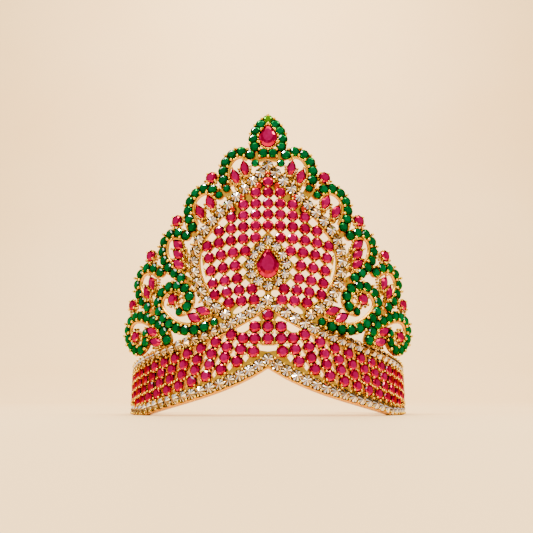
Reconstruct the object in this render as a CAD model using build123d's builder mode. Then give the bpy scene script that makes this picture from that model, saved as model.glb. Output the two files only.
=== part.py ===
from build123d import *
from math import cos, exp, radians, sin, tan
import os

# A half-ring mukut crown that stands on the level feet of its band.
# Millimetres, +Z up, the front faces -Y, and the origin is the centre of the ring on the ground.
# Places on a wall are flat-pattern pairs: along the wall from the middle, and height on the axis.

# Ring and lean
lean_angle = 8.0
band_radius = 66.0
band_wall = 2.2
arm_end_angle = 147.0
arm_rise_start = 18.0
arm_rise_slope = 13.5

# Upper panel
panel_radius = 84.0
panel_wall = 1.1

# Chevron of the band: each line runs level at the side and climbs to the middle
chevron_reach = 26.0
foot_line = (-6.3, 17.6)
lower_line = (-3.6, 18.6)
upper_line = (19.1, 21.8)
ruby_line = (1.0, 22.0)
ruby_line_pitch = 4.3
string_margin = 2.2
string_end_angle = 82.0

# Stones
ruby_diameter = 4.3
accent_diameter = 4.8
stone_height = 1.6
seat_clearance = 0.1
marquise_length = 6.2
marquise_width = 3.4
pear_size = (9.4, 12.0)
finial_pear_size = (7.4, 10.0)
pear_height = 2.6
string_width = 3.5
string_height = 1.4
string_clearance = 0.15
floor_margin = 0.1

# Metal round the stones
plate_margin = 0.45
petal_margin = 0.3
stem_width = 1.4
finial_bed_margin = 1.2
solder_gap = 0.2
heart_gap = 4.4
band_gap = (3.2, 4.4)
band_gap_count = 6

# Heart lattice: rows hang in shallow arcs, and the columns draw in towards the foot
heart_top = 96.6
row_pitch = 5.5
column_pitch = 5.5
row_arc_radius = 140.0
column_draw = 1.0
draw_starts_at_row = 5

# drop: row pitches below the top row, first and last: the columns that hold a stone
HEART_ROWS = [
    (0.00, 0, 0),
    (0.92, 0, 1),
    (1.90, 0, 2),
    (2.86, 0, 3),
    (3.84, 0, 4),
    (4.86, 1, 5),
    (5.92, 2, 5),
    (7.07, 3, 5),
    (8.18, 3, 5),
    (9.17, 2, 5),
    (10.06, 2, 4),
]

# Band rubies: line counted from the lowest, along of the first stone, and how many follow each side
band_ruby_pitch = 7.0
BAND_ROWS = [
    (0, 6.2, 11),
    (1, 11.6, 13),
    (2, 10.7, 13),
    (3, 15.8, 12),
]
# The little cross in the middle of the band: along and height
BAND_CROSS = [(0.0, 34.3), (0.0, 29.1), (0.0, 23.9), (5.6, 29.1), (5.6, 23.9)]

# Routes of the strings of set stones on the right half, each point along and height
HALO_ROUTE = [
    (0, 104.9), (11.2, 92.9), (22.6, 81.8), (31.6, 71.0),
    (34.1, 59.6), (31.9, 50.4), (27.3, 42.3), (18.6, 35.0),
]
PEAR_RING_ROUTE = [(0, 68.5), (5.3, 63.5), (8.0, 57.4), (6.3, 51.3), (0, 47.3)]
FINIAL_ROUTE = [(0, 128.6), (3.4, 126.0), (5.8, 122.2), (6.7, 117.8), (6.0, 113.2)]
FIRST_ARCH_ROUTE = [(0, 111.2), (7.9, 110.4), (12.7, 112.4), (17.9, 110.2), (20.7, 102.6), (17.3, 90.8)]
SECOND_ARCH_ROUTE = [(22.6, 91.6), (27.2, 95.5), (34.0, 94.2), (38.0, 86.6), (34.2, 74.6)]
THIRD_ARCH_ROUTE = [(38.6, 73.8), (43.6, 76.1), (49.8, 75.1), (52.0, 69.0), (46.9, 59.0), (37.2, 51.8)]
FOURTH_ARCH_ROUTE = [(52.7, 58.4), (58.0, 61.8), (65.2, 61.6), (68.7, 56.6), (64.6, 47.2), (57.5, 41.0)]
BIG_SCROLL_ROUTE = [
    (41.1, 38.3), (36.4, 40.8), (36.8, 47.1), (42.5, 50.4), (49.4, 49.9),
    (53.6, 43.6), (48.9, 35.7), (39.7, 30.0), (28.4, 30.1), (21.5, 33.0),
]
LOWEST_SCROLL_ROUTE = [
    (47.2, 26.0), (51.0, 32.4), (58.1, 37.1), (66.2, 40.0), (73.6, 38.2),
    (75.0, 32.8), (71.0, 27.0), (64.4, 23.4), (60.4, 26.2), (61.2, 31.2),
]

# Marquises on the right half: along, height, slope of the long axis, length of the stem below it
MARQUISES = [
    (10.7, 103.9, 80, 6.5),
    (15.1, 100.0, 72, 6.5),
    (26.8, 88.5, 68, 6.5),
    (31.8, 84.5, 65, 6.5),
    (42.9, 70.0, 45, 9.0),
    (42.6, 65.4, 42, 9.0),
    (42.3, 60.8, 38, 9.0),
    (57.9, 54.2, 68, 7.5),
    (60.9, 50.3, 65, 7.5),
    (29.1, 37.4, 20, 6.5),
    (33.2, 34.7, 30, 6.5),
    (56.2, 31.1, 30, 6.5),
    (53.8, 25.9, 18, 6.5),
]
# Round accent stones on the right half: along, height, direction of the stem
ACCENTS = [
    (26.3, 100.5, -95),
    (43.8, 81.9, -92),
    (59.2, 67.8, -77),
    (71.3, 46.3, -101),
    (44.5, 44.4, 107),
    (67.6, 30.4, -5),
]
accent_stem = 4.5
CENTRE_PEAR = (0.0, 57.0)
FINIAL_PEAR = (0.0, 120.2)

# Long openings on the right half, each corner along and height
HEART_EDGE_OUTER = [(31.3, 69.5), (31.8, 60.0), (29.9, 51.0), (26.0, 44.2)]
HEART_EDGE_INNER = [(29.8, 66.5), (29.5, 60.0), (27.4, 51.5), (26.0, 44.2)]
BAND_CORNER_GAP = [
    (2.9, 32.0), (4.4, 34.2), (8.0, 32.3), (12.0, 30.2), (14.6, 29.0),
    (12.9, 27.3), (10.6, 26.8), (8.4, 28.2), (7.6, 30.6), (5.4, 31.6),
]
BAND_MIDDLE_GAP = [
    (-4.8, 22.0), (-3.4, 18.9), (0, 18.4), (3.4, 18.9),
    (4.8, 22.0), (2.4, 21.2), (-2.4, 21.2),
]
# Lens gaps at the foot of the heart: along, height, length, width, slope
HEART_LENSES = [
    (3.4, 44.2, 4.2, 3.2, -15),
    (11.8, 37.5, 7.6, 2.8, -30),
]
# Single gaps on the right half: along, height, width across the corners
HEART_SINGLE_GAPS = [
    (20.7, 78.2, 5.0),
    (26.0, 71.5, 5.2),
    (2.7, 72.4, 3.8),
    (7.7, 66.8, 3.4),
    (11.6, 60.0, 4.2),
    (11.2, 54.2, 3.8),
    (10.1, 48.9, 4.2),
    (20.7, 41.4, 3.8),
    (29.2, 64.4, 3.6),
    (28.5, 58.4, 3.8),
    (27.5, 52.4, 3.8),
    (26.0, 46.9, 2.8),
]
BAND_SINGLE_GAPS = [
    (2.8, 26.5, 3.8),
    (8.2, 26.3, 2.8),
    (8.3, 21.4, 3.4),
]

# Cut stones: a flat table over a ring of facets, with facets down to a small flat foot
# Each level: its share of the height and its share of the width
STONE_LEVELS = [(0, 0.55), (0.5, 1), (1, 0.56)]
round_facets = 10
# Outlines as shares of the half sizes, counter-clockwise: across, and along the long axis
MARQUISE_SHARES = [
    (1, 0), (0.72, 0.52), (0, 1), (-0.72, 0.52), (-1, 0), (-0.72, -0.52), (0, -1), (0.72, -0.52),
]
PEAR_SHARES = [
    (0, 1), (-0.42, 0.5), (-0.82, 0), (-1, -0.35), (-0.86, -0.72), (-0.48, -0.94),
    (0, -1), (0.48, -0.94), (0.86, -0.72), (1, -0.35), (0.82, 0), (0.42, 0.5),
]

# Angles round the band at which a chevron line is drawn, the panel's rim, and the clear rows
CURVE_ANGLES = (0, 7, 16, 27, 40, 54, 70, 90)
RIM_ANGLES = (0, 7, 16, 26, 37)
STRING_ANGLES = (0, 7, 16, 27, 40, 52, 62, 72, string_end_angle)

# How far the cutting shapes reach
prism_reach = 8.0
front_reach = 86.0
shell_foot = -20.0
shell_tall = 170.0

lean = Location((0, 0, 0), (-lean_angle, 0, 0))
panel_setback = panel_radius - band_radius
seat_width = string_width + 2 * plate_margin

# The stretches of the panel, each drawn flat on the plane that touches it: middle, and the routes there
GREEN_ARCHES = [
    ((4.0, 119.0), [FINIAL_ROUTE]),
    ((11.0, 104.0), [FIRST_ARCH_ROUTE]),
    ((31.0, 86.0), [SECOND_ARCH_ROUTE]),
    ((46.0, 64.0), [THIRD_ARCH_ROUTE]),
    ((62.0, 52.0), [FOURTH_ARCH_ROUTE]),
]
GREEN_SCROLLS = [
    ((40.0, 40.0), [BIG_SCROLL_ROUTE]),
    ((62.0, 32.0), [LOWEST_SCROLL_ROUTE]),
]
HEART_HALO = [((20.0, 70.0), [HALO_ROUTE])]
PEAR_RING = [((4.0, 58.0), [PEAR_RING_ROUTE])]


def line_height(line, along):
    """Height of a chevron line, given as its level at the side and its climb to the middle."""
    level, climb = line
    return level + climb * exp(-abs(along) / chevron_reach)


def line_stretch(line, along):
    """How much longer an upright cut across a sloping chevron line is than a square one."""
    slope = line[1] / chevron_reach * exp(-abs(along) / chevron_reach)
    return (1 + slope * slope) ** 0.5


def ground_height(along):
    """Height of the ground at the band, measured on the leaning axis."""
    return -band_radius * cos(along / band_radius) * tan(radians(lean_angle))


def wall_plane(radius, setback, along, height, turn=0.0):
    """Plane that touches a wall, its x along the wall, its y up it and its z outwards."""
    angle = along / radius
    upright = Plane(
        origin=(radius * sin(angle), setback - radius * cos(angle), height),
        x_dir=(cos(angle), sin(angle), 0),
        z_dir=(sin(angle), -cos(angle), 0),
    )
    return Plane(lean * upright.location * Location((0, 0, 0), (0, 0, turn)))


def panel_plane(along, height, turn=0.0):
    """Plane on the outer face of the panel."""
    return wall_plane(panel_radius, panel_setback, along, height, turn)


def band_plane(along, height, turn=0.0):
    """Plane on the outer face of the band."""
    return wall_plane(band_radius, 0, along, height, turn)


def front_plane():
    """Upright plane through the ring's axis, leaning with it, seen from the front."""
    return Plane(lean * Plane(origin=(0, 0, 0), x_dir=(1, 0, 0), z_dir=(0, -1, 0)).location)


def both_sides(places):
    """The places and their mirror images, a place on the middle line only once."""
    mirrored = [(-place[0],) + tuple(place[1:]) for place in places if place[0] > 0]
    return list(places) + mirrored


def both_sides_turned(places):
    """As both_sides, for places whose third value is a direction in degrees."""
    mirrored = [(-place[0], place[1], 180 - place[2]) for place in places if place[0] > 0]
    return list(places) + mirrored


def heart_place(row, column):
    """Where the stone of a row and a column sits on the panel."""
    drop = HEART_ROWS[row][0]
    drawn = column_draw * max(0, row - draw_starts_at_row) if column else 0
    along = column * column_pitch - drawn
    return along, heart_top - drop * row_pitch - along * along / (2 * row_arc_radius)


def heart_places():
    """Every stone of the heart lattice on the right half and the middle line."""
    places = []
    for row, (drop, first, last) in enumerate(HEART_ROWS):
        places += [heart_place(row, column) for column in range(first, last + 1)]
    return places


def heart_gap_places():
    """The middle of every four stones that stand round a gap, on the right half."""
    places = []
    for row in range(len(HEART_ROWS) - 1):
        first = max(HEART_ROWS[row][1], HEART_ROWS[row + 1][1])
        last = min(HEART_ROWS[row][2], HEART_ROWS[row + 1][2])
        for column in range(first, last):
            corners = [heart_place(r, c) for r in (row, row + 1) for c in (column, column + 1)]
            places.append((sum(c[0] for c in corners) / 4, sum(c[1] for c in corners) / 4))
    return places


def band_row_places(offset, count_limit=None):
    """Places along the four ruby rows of the band, offset by a share of the pitch."""
    places = []
    for line, first, count in BAND_ROWS:
        level = (ruby_line[0] + line * ruby_line_pitch, ruby_line[1])
        for step in range(count_limit or count):
            along = first + (step + offset) * band_ruby_pitch
            places.append((along, line_height(level, along)))
    return places


def front_curve(line, rise, angles, lowest=None):
    """Points of a chevron line on the band seen from the front, raised square to the line.

    With lowest, the line itself stays that much above the ground.
    """
    points = []
    for angle in angles:
        along = radians(angle) * band_radius
        middle = line_height(line, along)
        if lowest is not None:
            middle = max(middle, ground_height(along) + lowest)
        height = middle + rise * line_stretch(line, along)
        points.append((band_radius * sin(radians(angle)), height))
    return points


def tube_wall(radius, setback, inner, outer):
    """A tall leaning tube about a wall, between two offsets from its outer face."""
    with BuildPart() as tube:
        with BuildSketch(Plane(lean * Location((0, setback, shell_foot)))):
            Circle(radius + outer)
            Circle(radius + inner, mode=Mode.SUBTRACT)
        extrude(amount=shell_tall)
    return tube.part


def route_prisms(stretches, width):
    """Upright bars of a given width along the routes, on the right half and mirrored."""
    with BuildPart() as bars:
        for centre, routes in stretches:
            with BuildSketch(panel_plane(*centre)):
                for route in routes:
                    local = [(x - centre[0], y - centre[1]) for x, y in route]
                    with BuildLine(mode=Mode.PRIVATE) as path:
                        Spline(local)
                    trace(path.line, width)
                    with Locations(local[0], local[-1]):
                        Circle(width / 2)
            extrude(amount=prism_reach, both=True)
        mirror(about=Plane.YZ)
    return bars.part


def seat_prisms():
    """Beds and stems under the marquises and the accents, on the right half and mirrored."""
    with BuildPart() as beds:
        for along, height, slope, stem in MARQUISES:
            with BuildSketch(panel_plane(along, height, slope)):
                Ellipse(marquise_length / 2 + petal_margin, marquise_width / 2 + petal_margin)
                with Locations((-stem / 2, 0)):
                    Rectangle(stem, stem_width)
            extrude(amount=prism_reach, both=True)
        for along, height, direction in ACCENTS:
            with BuildSketch(panel_plane(along, height, direction)):
                Circle(accent_diameter / 2 + petal_margin)
                with Locations((accent_stem / 2, 0)):
                    Rectangle(accent_stem, stem_width)
            extrude(amount=prism_reach, both=True)
        mirror(about=Plane.YZ)
        with BuildSketch(panel_plane(*FINIAL_PEAR)):
            width = finial_pear_size[0] / 2 + finial_bed_margin
            length = finial_pear_size[1] / 2 + finial_bed_margin
            Polygon(*[(x * width, y * length) for x, y in PEAR_SHARES], align=None)
        extrude(amount=prism_reach, both=True)
    return beds.part


def gap_cutter(width, height):
    """A diamond punch that goes through a wall."""
    corners = [(width / 2, 0), (0, height / 2), (-width / 2, 0), (0, -height / 2)]
    with BuildPart() as punch:
        with BuildSketch():
            Polygon(*corners, align=None)
        extrude(amount=band_wall * 2, both=True)
    return punch.part


def round_stone(diameter, height):
    """A round stone of ten facets, standing just clear of its seat."""
    with BuildPart() as stone:
        for level, scale in STONE_LEVELS:
            with BuildSketch(Plane.XY.offset(seat_clearance + level * height)):
                RegularPolygon(diameter / 2 * scale, round_facets)
        loft(ruled=True)
    return stone.part


def shaped_stone(shares, width, length, height):
    """A stone whose outline is given as shares of its half width and half length."""
    with BuildPart() as stone:
        for level, scale in STONE_LEVELS:
            corners = [(x * width / 2 * scale, y * length / 2 * scale) for x, y in shares]
            with BuildSketch(Plane.XY.offset(seat_clearance + level * height)):
                Polygon(*corners, align=None)
        loft(ruled=True)
    return stone.part


os.makedirs("parts", exist_ok=True)

# Band frame: a half ring with a chevron front, pierced between its rubies, level where it stands
with BuildPart() as band_frame:
    add(tube_wall(band_radius, 0, -band_wall, 0))
    # the open back
    back_x = 2 * band_radius * sin(radians(arm_end_angle))
    back_y = -2 * band_radius * cos(radians(arm_end_angle))
    with BuildSketch(Plane(lean * Location((0, 0, shell_foot)))):
        Polygon((0, 0), (back_x, back_y), (0, 4 * band_radius), (-back_x, back_y), align=None)
    extrude(amount=shell_tall, mode=Mode.SUBTRACT)
    # what lies above the upper edge, in front
    top_points = front_curve(upper_line, string_margin, CURVE_ANGLES)
    with BuildSketch(front_plane()):
        with BuildLine():
            Spline(top_points)
            Line(top_points[-1], (front_reach, top_points[-1][1]))
            Line((front_reach, top_points[-1][1]), (front_reach, shell_tall))
            Line((front_reach, shell_tall), (0, shell_tall))
            Line((0, shell_tall), top_points[0])
        make_face()
        mirror(about=Plane.YZ)
    extrude(amount=front_reach, mode=Mode.SUBTRACT)
    # what lies above the level arms, behind
    lean_run = tan(radians(lean_angle))
    arm_top = top_points[-1][1] * cos(radians(lean_angle))
    above_arms = [
        (arm_top * lean_run, arm_top), (front_reach, arm_top),
        (front_reach, shell_tall), (shell_tall * lean_run, shell_tall),
    ]
    with BuildSketch(Plane.YZ):
        Polygon(*above_arms, align=None)
    extrude(amount=front_reach, both=True, mode=Mode.SUBTRACT)
    # what lies below the chevron's foot, in front
    foot_points = front_curve(foot_line, 0, CURVE_ANGLES)
    with BuildSketch(front_plane()):
        with BuildLine():
            Spline(foot_points)
            Line(foot_points[-1], (front_reach, foot_points[-1][1]))
            Line((front_reach, foot_points[-1][1]), (front_reach, shell_foot))
            Line((front_reach, shell_foot), (0, shell_foot))
            Line((0, shell_foot), foot_points[0])
        make_face()
        mirror(about=Plane.YZ)
    extrude(amount=front_reach, mode=Mode.SUBTRACT)
    # the level feet
    with BuildSketch(Plane.XY):
        Rectangle(2 * front_reach, 2 * front_reach)
    extrude(amount=2 * shell_foot, mode=Mode.SUBTRACT)
    # the arms rise off the ground towards their ends
    arm_rise = tan(radians(arm_rise_slope)) * (front_reach - arm_rise_start)
    with BuildSketch(Plane.YZ):
        Polygon((arm_rise_start, 0), (front_reach, 0), (front_reach, arm_rise), align=None)
    extrude(amount=front_reach, both=True, mode=Mode.SUBTRACT)
    # pierced work
    gaps = both_sides(band_row_places(0.5, band_gap_count))
    with Locations(*[band_plane(along, height).location for along, height in gaps]):
        add(gap_cutter(*band_gap), mode=Mode.SUBTRACT)
    for along, height, across in both_sides(BAND_SINGLE_GAPS):
        with Locations(band_plane(along, height).location):
            add(gap_cutter(across, across), mode=Mode.SUBTRACT)
    with BuildSketch(front_plane()):
        Polygon(*BAND_CORNER_GAP, align=None)
        Polygon(*[(-x, y) for x, y in BAND_CORNER_GAP], align=None)
        Polygon(*BAND_MIDDLE_GAP, align=None)
    extrude(amount=front_reach, mode=Mode.SUBTRACT)
band_frame.part.label = "band_frame"
export_step(band_frame.part, "parts/band_frame.step")

# Panel frame: the pierced heart with its halo, arches and scrolls, one casting
with BuildPart() as panel_frame:
    add(route_prisms(HEART_HALO + GREEN_ARCHES + GREEN_SCROLLS, seat_width))
    add(seat_prisms())
    heart_edge = [(panel_radius * sin(x / panel_radius), y) for x, y in HALO_ROUTE]
    heart_foot = (0, line_height(upper_line, 0))
    heart_corner = (heart_edge[-1][0], line_height(upper_line, HALO_ROUTE[-1][0]))
    with BuildSketch(front_plane()):
        with BuildLine():
            Spline(heart_edge)
            Polyline(heart_edge[-1], heart_corner, heart_foot)
            Line(heart_foot, heart_edge[0])
        make_face()
        mirror(about=Plane.YZ)
    extrude(amount=front_reach)
    add(tube_wall(panel_radius, panel_setback, -panel_wall, 0), mode=Mode.INTERSECT)
    # clear of the band below
    rim_points = front_curve(upper_line, string_margin + solder_gap, RIM_ANGLES)
    with BuildSketch(front_plane()):
        with BuildLine():
            Spline(rim_points)
            Polyline(rim_points[-1], (rim_points[-1][0], shell_foot), (0, shell_foot), rim_points[0])
        make_face()
        mirror(about=Plane.YZ)
    extrude(amount=front_reach, mode=Mode.SUBTRACT)
    # pierced work
    gaps = both_sides(heart_gap_places())
    with Locations(*[panel_plane(along, height).location for along, height in gaps]):
        add(gap_cutter(heart_gap, heart_gap), mode=Mode.SUBTRACT)
    for along, height, across in both_sides(HEART_SINGLE_GAPS):
        with Locations(panel_plane(along, height).location):
            add(gap_cutter(across, across), mode=Mode.SUBTRACT)
    with BuildSketch(front_plane()):
        with BuildLine():
            Spline(HEART_EDGE_OUTER)
            Spline(HEART_EDGE_INNER)
            Line(HEART_EDGE_OUTER[0], HEART_EDGE_INNER[0])
        make_face()
        for along, height, length, width, slope in HEART_LENSES:
            with Locations(Location((along, height, 0), (0, 0, slope))):
                Ellipse(length / 2, width / 2)
        mirror(about=Plane.YZ)
    extrude(amount=front_reach, mode=Mode.SUBTRACT)
panel_frame.part.label = "panel_frame"
export_step(panel_frame.part, "parts/panel_frame.step")

# Strings of small set stones: strips that lie on the metal of the panel
STRINGS = [
    ("heart_halo_stones", HEART_HALO, []),
    ("pear_ring_stones", PEAR_RING, []),
    ("green_arch_stones", GREEN_ARCHES, HEART_HALO),
    ("green_scroll_stones", GREEN_SCROLLS, HEART_HALO + GREEN_ARCHES),
]
for name, stretches, neighbours in STRINGS:
    with BuildPart() as string_stones:
        add(route_prisms(stretches, string_width))
        if neighbours:
            add(route_prisms(neighbours, string_width + 2 * string_clearance), mode=Mode.SUBTRACT)
        strip = tube_wall(panel_radius, panel_setback, seat_clearance, seat_clearance + string_height)
        add(strip, mode=Mode.INTERSECT)
    string_stones.part.label = name
    export_step(string_stones.part, "parts/" + name + ".step")

# The two clear rows that edge the band
row_lowest = string_width / 2 + floor_margin
for name, line in (("upper_chevron_stones", upper_line), ("lower_chevron_stones", lower_line)):
    with BuildPart() as row_stones:
        row_top = front_curve(line, string_width / 2, STRING_ANGLES, row_lowest)
        row_bottom = front_curve(line, -string_width / 2, STRING_ANGLES, row_lowest)
        with BuildSketch(front_plane()):
            with BuildLine():
                Spline(row_top)
                Line(row_top[-1], row_bottom[-1])
                Spline(row_bottom)
                Line(row_bottom[0], row_top[0])
            make_face()
            mirror(about=Plane.YZ)
        extrude(amount=front_reach)
        row_shell = tube_wall(band_radius, 0, seat_clearance, seat_clearance + string_height)
        add(row_shell, mode=Mode.INTERSECT)
    row_stones.part.label = name
    export_step(row_stones.part, "parts/" + name + ".step")

# Rubies of the heart and of the band
with BuildPart() as heart_rubies:
    with Locations(*[panel_plane(*place).location for place in both_sides(heart_places())]):
        add(round_stone(ruby_diameter, stone_height))
heart_rubies.part.label = "heart_rubies"
export_step(heart_rubies.part, "parts/heart_rubies.step")

with BuildPart() as band_rubies:
    band_places = both_sides(BAND_CROSS + band_row_places(0))
    with Locations(*[band_plane(*place).location for place in band_places]):
        add(round_stone(ruby_diameter, stone_height))
band_rubies.part.label = "band_rubies"
export_step(band_rubies.part, "parts/band_rubies.step")

with BuildPart() as accent_rubies:
    with Locations(*[panel_plane(*place).location for place in both_sides_turned(ACCENTS)]):
        add(round_stone(accent_diameter, stone_height))
accent_rubies.part.label = "accent_rubies"
export_step(accent_rubies.part, "parts/accent_rubies.step")

with BuildPart() as marquise_rubies:
    petals = both_sides_turned([row[:3] for row in MARQUISES])
    upright_petals = [(along, height, slope - 90) for along, height, slope in petals]
    with Locations(*[panel_plane(*petal).location for petal in upright_petals]):
        add(shaped_stone(MARQUISE_SHARES, marquise_width, marquise_length, stone_height))
marquise_rubies.part.label = "marquise_rubies"
export_step(marquise_rubies.part, "parts/marquise_rubies.step")

# The two pears
PEARS = [
    ("centre_pear", CENTRE_PEAR, pear_size),
    ("finial_pear", FINIAL_PEAR, finial_pear_size),
]
for name, place, size in PEARS:
    with BuildPart() as pear:
        with Locations(panel_plane(*place).location):
            add(shaped_stone(PEAR_SHARES, size[0], size[1], pear_height))
    pear.part.label = name
    export_step(pear.part, "parts/" + name + ".step")
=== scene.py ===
import bpy
import numpy as np
import random
from collections import namedtuple
from math import asin, cos, exp, hypot, pi, radians, sin, tan
from mathutils import Matrix, Vector


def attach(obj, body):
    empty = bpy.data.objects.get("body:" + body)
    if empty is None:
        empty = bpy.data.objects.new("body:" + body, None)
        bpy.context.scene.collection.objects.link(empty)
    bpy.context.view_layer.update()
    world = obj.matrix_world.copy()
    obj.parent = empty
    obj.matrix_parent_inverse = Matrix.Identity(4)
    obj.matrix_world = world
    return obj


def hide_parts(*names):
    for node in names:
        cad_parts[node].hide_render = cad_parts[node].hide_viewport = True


# A half-ring mukut crown. Its two gold frames come from the frame, and every stone, cup and prong is
# set on them here. Blender works in metres. A place on a wall is a pair in millimetres: how far along
# the wall it lies, and how far up.

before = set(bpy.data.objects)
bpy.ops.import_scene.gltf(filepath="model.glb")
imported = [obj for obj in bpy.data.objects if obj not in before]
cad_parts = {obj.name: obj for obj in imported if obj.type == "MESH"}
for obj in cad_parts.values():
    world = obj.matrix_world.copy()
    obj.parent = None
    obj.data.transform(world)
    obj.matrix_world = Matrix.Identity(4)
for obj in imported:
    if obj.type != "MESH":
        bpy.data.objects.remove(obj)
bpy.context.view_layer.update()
chance = random.Random(11)

MM = 0.001

# The two walls that carry the stones
LEAN_ANGLE = 8.0
BAND_RADIUS = 66.0
PANEL_RADIUS = 84.0
PANEL_SETBACK = PANEL_RADIUS - BAND_RADIUS

# Chevron lines of the band: level at the side, climb to the middle
CHEVRON_REACH = 26.0
FOOT_LINE = (-6.3, 17.6)
LOWER_LINE = (-3.6, 18.6)
UPPER_LINE = (19.1, 21.8)
RUBY_LINE = (1.0, 22.0)
RUBY_LINE_PITCH = 4.3
CLEAR_PITCH = 4.75
STRING_END_ANGLE = 82.0

# Stones: width across, or width and length, and height
RUBY_WIDTH = 5.2
RUBY_HEIGHT = 1.7
ACCENT_WIDTH = 5.4
ACCENT_HEIGHT = 1.9
SMALL_RED_WIDTH = 3.0
SMALL_RED_HEIGHT = 1.2
CLEAR_WIDTH = 4.75
CLEAR_HEIGHT = 1.8
RING_CLEAR_WIDTH = 4.3
RING_CLEAR_HEIGHT = 1.6
GREEN_WIDTH = 4.5
GREEN_HEIGHT = 1.6
SMALL_GREEN_WIDTH = 3.4
SMALL_GREEN_HEIGHT = 1.3
MARQUISE_SIZE = (4.6, 8.5)
MARQUISE_HEIGHT = 1.65
CENTRE_PEAR_SIZE = (10.2, 13.2)
CENTRE_PEAR_HEIGHT = 2.6
FINIAL_PEAR_SIZE = (8.6, 11.4)
FINIAL_PEAR_HEIGHT = 2.5

# Cuts of the stones. Each ring above the foot: its share of the width, its share of the height
FOOT_SHARE = 0.6
FOOT_HEIGHT = 0.15
ROUND_CUT = [(1.0, 0.52), (0.84, 0.86), (0.58, 1.0)]
CLEAR_GIRDLE = (1.0, 0.42)
CLEAR_CROWN = (0.88, 0.64)
CLEAR_SPOKES = 8
SPOKE_DROP = 0.4
PEAR_FOOT_HEIGHT = 0.2
PEAR_CUT = [(1.0, 0.5), (0.78, 0.85), (0.56, 1.0)]
PEAR_SIDES = 16
PEAR_TIP = 0.12
PEAR_TAPER = 0.45
# A petal is an oval whose ends are drawn out: shares of its length, and the height of its girdle
MARQUISE_OVAL = 0.88
MARQUISE_TABLE = 0.5
MARQUISE_GIRDLE = 0.8
MARQUISE_SIDES = 12
MARQUISE_TIP = 0.1
MARQUISE_SPINDLE = 0.55
POINT_POWER = 6

# Painted light and shade on the facets, from dark at 0 to bright at 1: a pale table, lighter facets facing
# down, light and dark spokes on clear stones
LEVEL_NORMAL = 0.97
TABLE_GLINT = 0.62
SIDE_GLINT = 0.36
GLINT_DOWN = 0.34
GLINT_ASIDE = 0.1
GLINT_SPREAD = 0.16
GLINT_LIMIT = 0.72
SPOKE_GLINTS = (0.1, 0.68)
SPOKE_SPREAD = 0.25
WEDGE_NUDGE = 0.01
BRIGHT_RUBY_TONE = 0.5
STONE_TILT = 3.5
# Sparkles, painted highlights on single facets: their brightness, the way their facets face, within how
# many degrees, the share of stones
SPARKLE = 1.5
SPARKLE_NORMAL = (-0.28, -0.89, 0.37)
SPARKLE_SPREAD = 9.0
GREEN_SPARKLES = 0.6
RUBY_SPARKLES = 0.15

# Cups
CUP_MARGIN = 0.35
CUP_REACH = 0.28
CUP_WALL = 0.32
CUP_DEPTH_SHARE = 0.6
RUBY_CUP_WIDTH = RUBY_WIDTH - 0.3

# Prongs and grains: width of the ball, and height of its middle
BEAD_WIDTH = 1.2
BEAD_TOP = 1.35
STRING_BEAD_WIDTH = 1.5
STRING_BEAD_TOP = 1.3
SMALL_BEAD_WIDTH = 0.9
SMALL_BEAD_TOP = 0.9
BIG_BEAD_WIDTH = 1.5
BIG_BEAD_TOP = 1.9
GRAIN_WIDTH = 1.3
GRAIN_TOP = 0.8
BALL_SEGMENTS = 8
BALL_RINGS = 6
POST_TOP_SHARE = 0.12
POST_SPREAD = 1.7
PRONG_REACH = 0.15
SHARED_PRONG_GAP = 1.5
SQUARE = (0, 90, 180, 270)
DIAGONAL = (45, 135, 225, 315)
# Where the prongs stand, as shares of the size of the stone, and the place of the one at the tip
GREEN_PRONG_SHARE = 0.42
CLEAR_PRONG_SHARE = 0.4
MIDDLE_GREEN_PRONG_SHARE = 0.55
PETAL_PRONG_SHARE = 0.53
PEAR_PRONGS = [(0, 0.52), (0.47, -0.3), (-0.47, -0.3)]
TIP_PRONG = (0.0, 130.3)
# Beads along the outline of a pear
PEAR_BEAD_GAP = 0.45
PEAR_BEAD_COUNT = 26
PEAR_BEAD_TAPER = 0.5
PEAR_BEAD_TIP = 0.15

# Rims inside the strings, and the rail of the band's foot
RIM_WIDTH = 1.6
RIM_INSET = 2.7
RIM_LIFT = 0.1
RIM_POINTS = 40
HALO_RIM_WIDTH = 1.1
HALO_RIM_START = 0.4
CHEVRON_RIM_REACH = 24.0
CHEVRON_RIM_POINTS = 60
FOOT_RAIL_WIDTH = 1.0
FOOT_RAIL_LIFT = 0.15
FOOT_RAIL_END_ANGLE = 88
FOOT_RAIL_POINTS = 160

# Leaves: width and length, then how they stand below a petal and outside the halo
LEAF_SIZE = (1.3, 2.6)
LEAF_FLATNESS = 0.5
LEAF_LIFT = 0.1
LEAF_TIP = 0.15
LEAF_DOWN = 5.2
LEAF_ASIDE = 1.2
LEAF_TURN = 32.0
HALO_LEAF_OUT = 2.7

# Grains beside the lower half of a petal: place along its axis and distance from the axis
PETAL_GRAINS = [(-4.6, 0.8), (-3.5, 1.5), (-2.4, 2.2), (-1.2, 2.6), (0.1, 2.8)]
# Arcs of grains on the right half: middle along and height, radius, first and last direction, count
GRAIN_ARCS = [
    (26.3, 100.5, 3.5, 200, 335, 5),
    (43.8, 81.9, 3.5, 190, 330, 5),
    (59.2, 67.8, 3.5, 190, 330, 5),
    (71.3, 46.3, 3.5, 180, 330, 5),
    (44.5, 44.4, 3.5, 20, 320, 10),
    (67.6, 30.4, 3.5, 10, 330, 10),
    (44.5, 44.4, 4.7, 110, 250, 5),
]
# Rows of grains on the right half: beside the stems of the outer accents, and inside the fourth arch
GRAIN_ROWS = [
    [(22.9, 100.4), (23.6, 98.3), (24.8, 96.6)],
    [(40.2, 83.0), (40.7, 80.2), (41.9, 78.2)],
    [(54.0, 68.8), (54.6, 66.2), (55.8, 63.8)],
    [(67.8, 47.0), (67.2, 44.4), (67.8, 42.2)],
    [(52.9, 56.4), (53.2, 52.6), (54.4, 48.6)],
]

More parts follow.
